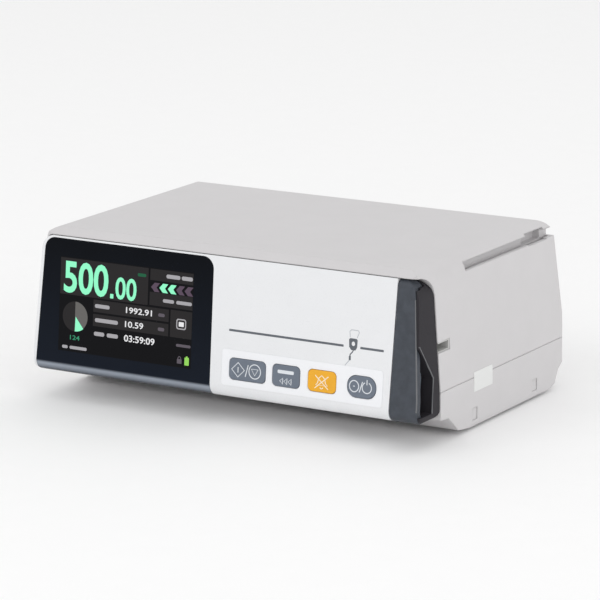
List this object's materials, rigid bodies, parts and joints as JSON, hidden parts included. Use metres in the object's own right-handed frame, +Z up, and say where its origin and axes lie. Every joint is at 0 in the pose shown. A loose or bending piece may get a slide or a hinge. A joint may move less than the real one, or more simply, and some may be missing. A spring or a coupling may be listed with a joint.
{
  "type": "infusion pump",
  "caption": "Bedside volumetric infusion pump: flat case, hinged front door with colour display, keys and release lever, and a linear peristaltic drive behind it.",
  "frame": {"origin": "on the table, under the middle of the case", "axes": "+X to the user's right, +Y to the rear, +Z up"},
  "size_m": [0.2642, 0.1744, 0.1025],
  "materials": {
    "case_plastic": "fine moulded grain",
    "door_white": "satin gloss",
    "fascia_black": "high gloss",
    "display_glass": "gloss",
    "overlay_white": "satin film",
    "key_grey": "satin",
    "key_amber": "satin",
    "dark_plastic": "fine grain",
    "lever_plastic": "fine grain",
    "rubber": "matte",
    "inner_plastic": "matte",
    "guide_plastic": "satin",
    "steel": "satin",
    "aluminium": "milled",
    "motor_metal": "satin",
    "belt_rubber": "matte",
    "circuit_board": "solder mask",
    "battery_wrap": "shrink film",
    "cover_plastic": "fine moulded grain",
    "socket_black": "satin",
    "label_film": "satin film"
  },
  "bodies": {
    "case": {"upper_case": "case_plastic", "lower_case": "case_plastic", "front_frame": "inner_plastic", "rubber_feet": "rubber", "case_screws": "steel", "seal_label": "label_film", "tube_guides": "guide_plastic", "battery_pack": "battery_wrap", "battery_cover": "cover_plastic", "main_board": "circuit_board", "power_supply": "circuit_board", "mains_inlet": "socket_black", "data_port": "socket_black", "speaker": "inner_plastic", "mount_plate": "steel", "mechanism_frame": "aluminium", "shaft_bearings": "steel", "stepper_motor": "motor_metal", "motor_bracket": "aluminium", "drive_belt": "belt_rubber", "latch_keepers": "steel", "hinge_brackets": "steel", "bubble_sensor": "inner_plastic", "pressure_sensor": "steel"},
    "door": {"door_shell": "door_white", "display_fascia": "fascia_black", "display_module": "display_glass", "display_board": "circuit_board", "key_overlay": "overlay_white", "keypad_board": "circuit_board", "door_back_plate": "inner_plastic", "door_end_cap": "dark_plastic", "hinge_pins": "steel", "door_screws": "steel", "platen_springs": "steel"},
    "lever": {"release_lever": "lever_plastic", "latch_shaft": "steel", "latch_hooks": "steel"},
    "start_key": {"key_start": "key_grey"},
    "bolus_key": {"key_bolus": "key_grey"},
    "alarm_key": {"key_alarm": "key_amber"},
    "power_key": {"key_power": "key_grey"},
    "platen": {"platen": "inner_plastic"},
    "cam_drive": {"camshaft": "steel", "shaft_pulley": "inner_plastic"},
    "motor_rotor": {"motor_shaft": "steel", "motor_pulley": "motor_metal"},
    "tube_clamp": {"tube_clamp": "inner_plastic"},
    "finger_1": {"finger_1": "inner_plastic"},
    "finger_2": {"finger_2": "inner_plastic"},
    "finger_3": {"finger_3": "inner_plastic"},
    "finger_4": {"finger_4": "inner_plastic"},
    "finger_5": {"finger_5": "inner_plastic"},
    "finger_6": {"finger_6": "inner_plastic"},
    "finger_7": {"finger_7": "inner_plastic"},
    "finger_8": {"finger_8": "inner_plastic"}
  },
  "joints": [
    {"name": "door_hinge", "type": "hinge", "parent": "case", "child": "door", "pos_m": [0, -0.0689, 0.0205], "axis": [1, 0, 0], "range_deg": [0, 85]},
    {"name": "lever_pivot", "type": "hinge", "parent": "door", "child": "lever", "pos_m": [0.118, -0.0759, 0.0928], "axis": [-1, 0, 0], "range_deg": [0, 30], "stiffness_Nm_per_rad": 0.05, "springref_deg": -8.59},
    {"name": "start_key_press", "type": "slide", "parent": "door", "child": "start_key", "axis": [0, 0.9954, -0.0956], "range_m": [0, 0.0008], "stiffness_N_per_m": 800, "springref_m": -0.0005},
    {"name": "bolus_key_press", "type": "slide", "parent": "door", "child": "bolus_key", "axis": [0, 0.9954, -0.0956], "range_m": [0, 0.0008], "stiffness_N_per_m": 800, "springref_m": -0.0005},
    {"name": "alarm_key_press", "type": "slide", "parent": "door", "child": "alarm_key", "axis": [0, 0.9954, -0.0956], "range_m": [0, 0.0008], "stiffness_N_per_m": 800, "springref_m": -0.0005},
    {"name": "power_key_press", "type": "slide", "parent": "door", "child": "power_key", "axis": [0, 0.9954, -0.0956], "range_m": [0, 0.0008], "stiffness_N_per_m": 800, "springref_m": -0.0005},
    {"name": "platen_slide", "type": "slide", "parent": "door", "child": "platen", "axis": [0, -1, 0], "range_m": [0, 0.0015], "stiffness_N_per_m": 1500, "springref_m": -0.001},
    {"name": "camshaft_spin", "type": "hinge", "parent": "case", "child": "cam_drive", "pos_m": [-0.03, -0.0335, 0.0561], "axis": [1, 0, 0], "continuous": true},
    {"name": "motor_spin", "type": "hinge", "parent": "case", "child": "motor_rotor", "pos_m": [0.01, 0.004, 0.0561], "axis": [1, 0, 0], "continuous": true},
    {"name": "clamp_slide", "type": "slide", "parent": "case", "child": "tube_clamp", "axis": [0, -1, 0], "range_m": [0, 0.008]},
    {"name": "finger_1_slide", "type": "slide", "parent": "case", "child": "finger_1", "axis": [0, -1, 0], "range_m": [0, 0.0024]},
    {"name": "finger_2_slide", "type": "slide", "parent": "case", "child": "finger_2", "axis": [0, -1, 0], "range_m": [-0.00035, 0.00205]},
    {"name": "finger_3_slide", "type": "slide", "parent": "case", "child": "finger_3", "axis": [0, -1, 0], "range_m": [-0.0012, 0.0012]},
    {"name": "finger_4_slide", "type": "slide", "parent": "case", "child": "finger_4", "axis": [0, -1, 0], "range_m": [-0.00205, 0.00035]},
    {"name": "finger_5_slide", "type": "slide", "parent": "case", "child": "finger_5", "axis": [0, -1, 0], "range_m": [-0.0024, 0]},
    {"name": "finger_6_slide", "type": "slide", "parent": "case", "child": "finger_6", "axis": [0, -1, 0], "range_m": [-0.00205, 0.00035]},
    {"name": "finger_7_slide", "type": "slide", "parent": "case", "child": "finger_7", "axis": [0, -1, 0], "range_m": [-0.0012, 0.0012]},
    {"name": "finger_8_slide", "type": "slide", "parent": "case", "child": "finger_8", "axis": [0, -1, 0], "range_m": [-0.00035, 0.00205]}
  ],
  "couplings": [
    {"joint": "motor_spin", "follows": "camshaft_spin", "ratio": 2}
  ]
}
